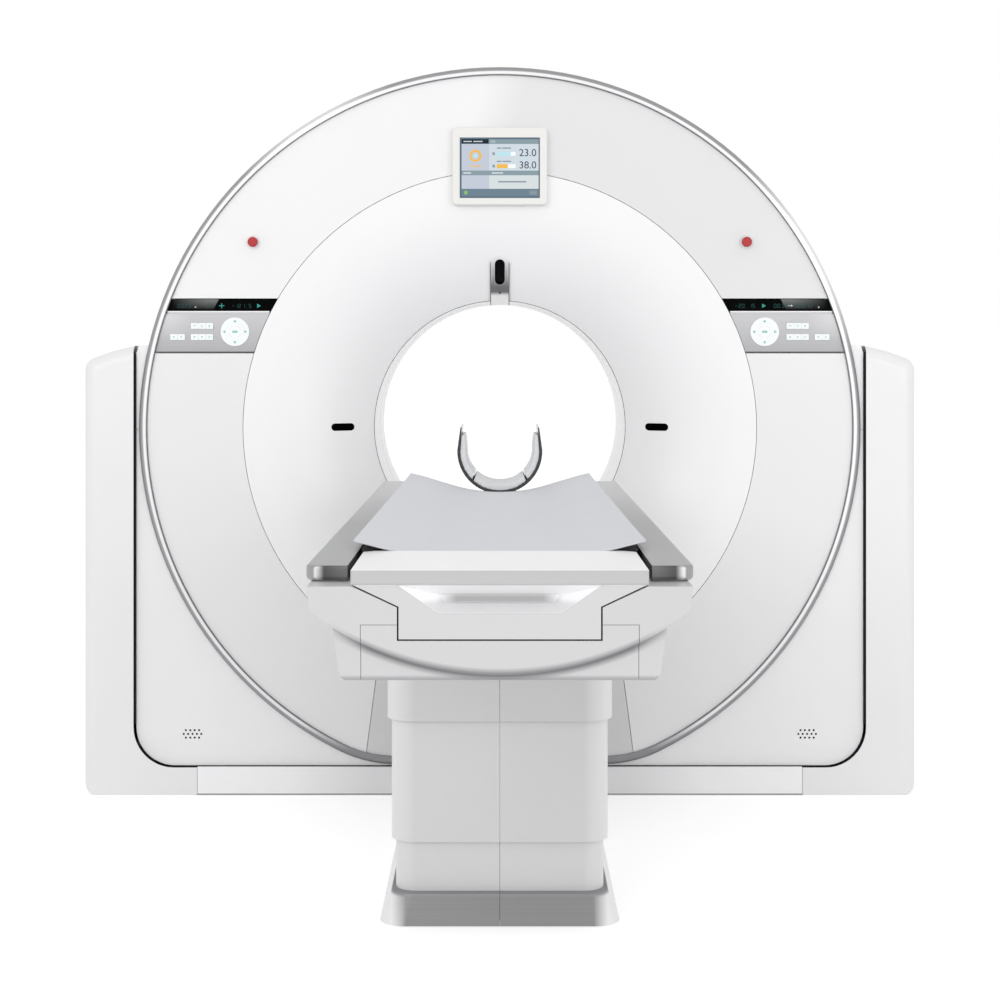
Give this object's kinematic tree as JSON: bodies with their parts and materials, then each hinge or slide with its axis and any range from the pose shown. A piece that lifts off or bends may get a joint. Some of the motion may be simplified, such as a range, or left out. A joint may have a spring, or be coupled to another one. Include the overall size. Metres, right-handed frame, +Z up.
{
  "type": "ct scanner",
  "caption": "Tilting ring gantry with a spinning scan ring inside, between floor-standing side pillars, and a patient couch that lifts and slides into the round bore.",
  "frame": {"origin": "on the floor, straight under the middle of the bore, at the centre of the gantry's anchor pattern", "axes": "+X to the right seen from the couch end, +Y from the couch into the bore, +Z up"},
  "size_m": [2.272, 3.032, 1.985],
  "materials": {
    "stand_frame": "satin powder coat",
    "pillar_covers": "moulded, fine satin",
    "base_strips": "satin",
    "tilt_gearmotor": "semi gloss",
    "table_base": "satin powder coat",
    "foot_skirts": "brushed",
    "lower_stage_covers": "satin",
    "middle_stage": "satin",
    "upper_stage_covers": "satin",
    "table_chassis": "mill finish",
    "table_tub": "moulded, satin",
    "tub_service_cover": "moulded, satin",
    "table_rails": "brushed and anodised",
    "cradle_shell": "carbon laminate with pale gel coat",
    "mat": "wipe-clean coated fabric over foam",
    "end_cap": "moulded, satin",
    "carriage": "machined",
    "head_holder": "moulded, satin",
    "head_pads": "coated foam",
    "tilt_frame": "painted casting",
    "main_bearing": "ground",
    "front_cover_upper": "semi gloss",
    "front_cover_lower": "semi gloss",
    "bottom_access_panel": "semi gloss",
    "ring_trim": "satin anodised",
    "front_funnel": "semi gloss",
    "bore_liner": "semi gloss",
    "rear_cover": "semi gloss",
    "arch_cover": "moulded, satin",
    "lower_panels": "moulded, satin",
    "display_bezel": "semi gloss",
    "display_screen": "lit screen",
    "window_bracket": "satin",
    "laser_windows": "dark tinted",
    "control_plates": "satin",
    "display_strips": "gloss",
    "rotor_ring": "machined casting",
    "xray_tube": "satin",
    "detector": "satin",
    "high_voltage_units": "satin",
    "emergency_stop_left": "semi gloss",
    "emergency_stop_right": "semi gloss",
    "round_pad_left": "satin",
    "round_pad_right": "satin",
    "key_left_upper_1": "satin",
    "key_left_upper_2": "satin",
    "key_left_upper_3": "satin",
    "key_left_lower_1": "satin",
    "key_left_lower_2": "satin",
    "key_left_lower_3": "satin",
    "key_left_pair_1": "satin",
    "key_left_pair_2": "satin",
    "key_right_upper_1": "satin",
    "key_right_upper_2": "satin",
    "key_right_upper_3": "satin",
    "key_right_lower_1": "satin",
    "key_right_lower_2": "satin",
    "key_right_lower_3": "satin",
    "key_right_pair_1": "satin",
    "key_right_pair_2": "satin"
  },
  "bodies": {
    "base": {"stand_frame": "stand_frame", "pillar_covers": "pillar_covers", "base_strips": "base_strips", "tilt_gearmotor": "tilt_gearmotor", "table_base": "table_base", "foot_skirts": "foot_skirts", "lower_stage_covers": "lower_stage_covers"},
    "middle_column": {"middle_stage": "middle_stage"},
    "table_top": {"upper_stage_covers": "upper_stage_covers", "table_chassis": "table_chassis", "table_tub": "table_tub", "tub_service_cover": "tub_service_cover", "table_rails": "table_rails"},
    "cradle": {"cradle_shell": "cradle_shell", "mat": "mat", "end_cap": "end_cap", "carriage": "carriage", "head_holder": "head_holder", "head_pads": "head_pads"},
    "gantry": {"tilt_frame": "tilt_frame", "main_bearing": "main_bearing", "front_cover_upper": "front_cover_upper", "front_cover_lower": "front_cover_lower", "bottom_access_panel": "bottom_access_panel", "ring_trim": "ring_trim", "front_funnel": "front_funnel", "bore_liner": "bore_liner", "rear_cover": "rear_cover", "arch_cover": "arch_cover", "lower_panels": "lower_panels", "display_bezel": "display_bezel", "display_screen": "display_screen", "window_bracket": "window_bracket", "laser_windows": "laser_windows", "control_plates": "control_plates", "display_strips": "display_strips"},
    "rotor": {"rotor_ring": "rotor_ring", "xray_tube": "xray_tube", "detector": "detector", "high_voltage_units": "high_voltage_units"},
    "body_emergency_stop_left": {"emergency_stop_left": "emergency_stop_left"},
    "body_emergency_stop_right": {"emergency_stop_right": "emergency_stop_right"},
    "body_round_pad_left": {"round_pad_left": "round_pad_left"},
    "body_round_pad_right": {"round_pad_right": "round_pad_right"},
    "body_key_left_upper_1": {"key_left_upper_1": "key_left_upper_1"},
    "body_key_left_upper_2": {"key_left_upper_2": "key_left_upper_2"},
    "body_key_left_upper_3": {"key_left_upper_3": "key_left_upper_3"},
    "body_key_left_lower_1": {"key_left_lower_1": "key_left_lower_1"},
    "body_key_left_lower_2": {"key_left_lower_2": "key_left_lower_2"},
    "body_key_left_lower_3": {"key_left_lower_3": "key_left_lower_3"},
    "body_key_left_pair_1": {"key_left_pair_1": "key_left_pair_1"},
    "body_key_left_pair_2": {"key_left_pair_2": "key_left_pair_2"},
    "body_key_right_upper_1": {"key_right_upper_1": "key_right_upper_1"},
    "body_key_right_upper_2": {"key_right_upper_2": "key_right_upper_2"},
    "body_key_right_upper_3": {"key_right_upper_3": "key_right_upper_3"},
    "body_key_right_lower_1": {"key_right_lower_1": "key_right_lower_1"},
    "body_key_right_lower_2": {"key_right_lower_2": "key_right_lower_2"},
    "body_key_right_lower_3": {"key_right_lower_3": "key_right_lower_3"},
    "body_key_right_pair_1": {"key_right_pair_1": "key_right_pair_1"},
    "body_key_right_pair_2": {"key_right_pair_2": "key_right_pair_2"}
  },
  "joints": [
    {"name": "gantry_tilt", "type": "hinge", "parent": "base", "child": "gantry", "pos_m": [0, 0, 1], "axis": [-1, 0, 0], "range_deg": [-30, 30]},
    {"name": "rotor_spin", "type": "hinge", "parent": "gantry", "child": "rotor", "pos_m": [0, 0, 1], "axis": [0, 1, 0], "continuous": true},
    {"name": "table_lift", "type": "slide", "parent": "base", "child": "table_top", "axis": [0, 0, 1], "range_m": [-0.35, 0.06]},
    {"name": "middle_lift", "type": "slide", "parent": "base", "child": "middle_column", "axis": [0, 0, 1], "range_m": [-0.0985, 0.017]},
    {"name": "cradle_travel", "type": "slide", "parent": "table_top", "child": "cradle", "axis": [0, 1, 0], "range_m": [0, 1.6]},
    {"name": "emergency_stop_left_press", "type": "slide", "parent": "gantry", "child": "body_emergency_stop_left", "axis": [0, 1, 0], "range_m": [0, 0.004], "stiffness_N_per_m": 2500, "springref_m": -0.001},
    {"name": "emergency_stop_right_press", "type": "slide", "parent": "gantry", "child": "body_emergency_stop_right", "axis": [0, 1, 0], "range_m": [0, 0.004], "stiffness_N_per_m": 2500, "springref_m": -0.001},
    {"name": "round_pad_left_press", "type": "slide", "parent": "gantry", "child": "body_round_pad_left", "axis": [0, 1, 0], "range_m": [0, 0.0015], "stiffness_N_per_m": 1500, "springref_m": -0.001},
    {"name": "round_pad_right_press", "type": "slide", "parent": "gantry", "child": "body_round_pad_right", "axis": [0, 1, 0], "range_m": [0, 0.0015], "stiffness_N_per_m": 1500, "springref_m": -0.001},
    {"name": "key_left_upper_1_press", "type": "slide", "parent": "gantry", "child": "body_key_left_upper_1", "axis": [0, 1, 0], "range_m": [0, 0.0012], "stiffness_N_per_m": 1200, "springref_m": -0.001},
    {"name": "key_left_upper_2_press", "type": "slide", "parent": "gantry", "child": "body_key_left_upper_2", "axis": [0, 1, 0], "range_m": [0, 0.0012], "stiffness_N_per_m": 1200, "springref_m": -0.001},
    {"name": "key_left_upper_3_press", "type": "slide", "parent": "gantry", "child": "body_key_left_upper_3", "axis": [0, 1, 0], "range_m": [0, 0.0012], "stiffness_N_per_m": 1200, "springref_m": -0.001},
    {"name": "key_left_lower_1_press", "type": "slide", "parent": "gantry", "child": "body_key_left_lower_1", "axis": [0, 1, 0], "range_m": [0, 0.0012], "stiffness_N_per_m": 1200, "springref_m": -0.001},
    {"name": "key_left_lower_2_press", "type": "slide", "parent": "gantry", "child": "body_key_left_lower_2", "axis": [0, 1, 0], "range_m": [0, 0.0012], "stiffness_N_per_m": 1200, "springref_m": -0.001},
    {"name": "key_left_lower_3_press", "type": "slide", "parent": "gantry", "child": "body_key_left_lower_3", "axis": [0, 1, 0], "range_m": [0, 0.0012], "stiffness_N_per_m": 1200, "springref_m": -0.001},
    {"name": "key_left_pair_1_press", "type": "slide", "parent": "gantry", "child": "body_key_left_pair_1", "axis": [0, 1, 0], "range_m": [0, 0.0012], "stiffness_N_per_m": 1200, "springref_m": -0.001},
    {"name": "key_left_pair_2_press", "type": "slide", "parent": "gantry", "child": "body_key_left_pair_2", "axis": [0, 1, 0], "range_m": [0, 0.0012], "stiffness_N_per_m": 1200, "springref_m": -0.001},
    {"name": "key_right_upper_1_press", "type": "slide", "parent": "gantry", "child": "body_key_right_upper_1", "axis": [0, 1, 0], "range_m": [0, 0.0012], "stiffness_N_per_m": 1200, "springref_m": -0.001},
    {"name": "key_right_upper_2_press", "type": "slide", "parent": "gantry", "child": "body_key_right_upper_2", "axis": [0, 1, 0], "range_m": [0, 0.0012], "stiffness_N_per_m": 1200, "springref_m": -0.001},
    {"name": "key_right_upper_3_press", "type": "slide", "parent": "gantry", "child": "body_key_right_upper_3", "axis": [0, 1, 0], "range_m": [0, 0.0012], "stiffness_N_per_m": 1200, "springref_m": -0.001},
    {"name": "key_right_lower_1_press", "type": "slide", "parent": "gantry", "child": "body_key_right_lower_1", "axis": [0, 1, 0], "range_m": [0, 0.0012], "stiffness_N_per_m": 1200, "springref_m": -0.001},
    {"name": "key_right_lower_2_press", "type": "slide", "parent": "gantry", "child": "body_key_right_lower_2", "axis": [0, 1, 0], "range_m": [0, 0.0012], "stiffness_N_per_m": 1200, "springref_m": -0.001},
    {"name": "key_right_lower_3_press", "type": "slide", "parent": "gantry", "child": "body_key_right_lower_3", "axis": [0, 1, 0], "range_m": [0, 0.0012], "stiffness_N_per_m": 1200, "springref_m": -0.001},
    {"name": "key_right_pair_1_press", "type": "slide", "parent": "gantry", "child": "body_key_right_pair_1", "axis": [0, 1, 0], "range_m": [0, 0.0012], "stiffness_N_per_m": 1200, "springref_m": -0.001},
    {"name": "key_right_pair_2_press", "type": "slide", "parent": "gantry", "child": "body_key_right_pair_2", "axis": [0, 1, 0], "range_m": [0, 0.0012], "stiffness_N_per_m": 1200, "springref_m": -0.001}
  ],
  "couplings": [
    {"joint": "middle_lift", "follows": "table_lift", "ratio": 0.28}
  ]
}
